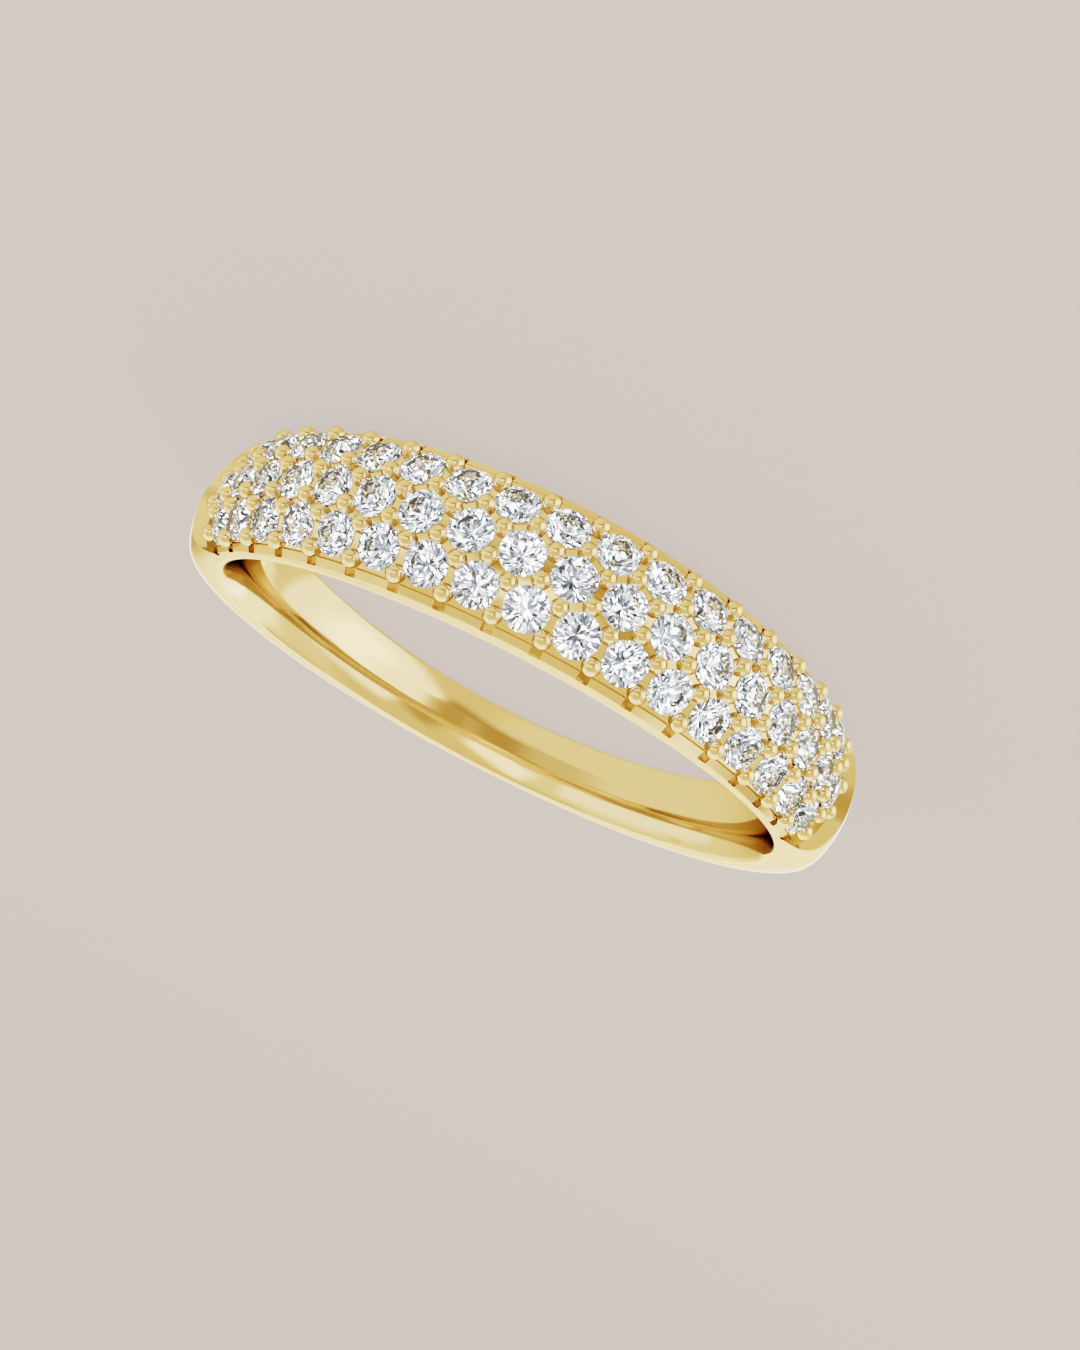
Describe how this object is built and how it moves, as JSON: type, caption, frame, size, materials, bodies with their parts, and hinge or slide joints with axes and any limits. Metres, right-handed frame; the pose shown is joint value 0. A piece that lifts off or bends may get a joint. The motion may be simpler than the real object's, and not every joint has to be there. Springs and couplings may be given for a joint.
{
  "type": "pave diamond band",
  "caption": "Domed gold ring that narrows towards the back, its front half paved with staggered rows of small round brilliants held by raised beads between bevelled rails.",
  "frame": {"origin": "middle of the bore", "axes": "+Z along the bore, so the ring lies on its side, with -Y towards the middle of the stones and +X to one side"},
  "size_m": [0.021, 0.0211, 0.0042],
  "materials": {
    "gold": "polished yellow gold",
    "diamond": "polished, faceted"
  },
  "bodies": {
    "root": {"band": "gold", "stones": "diamond"}
  },
  "joints": []
}
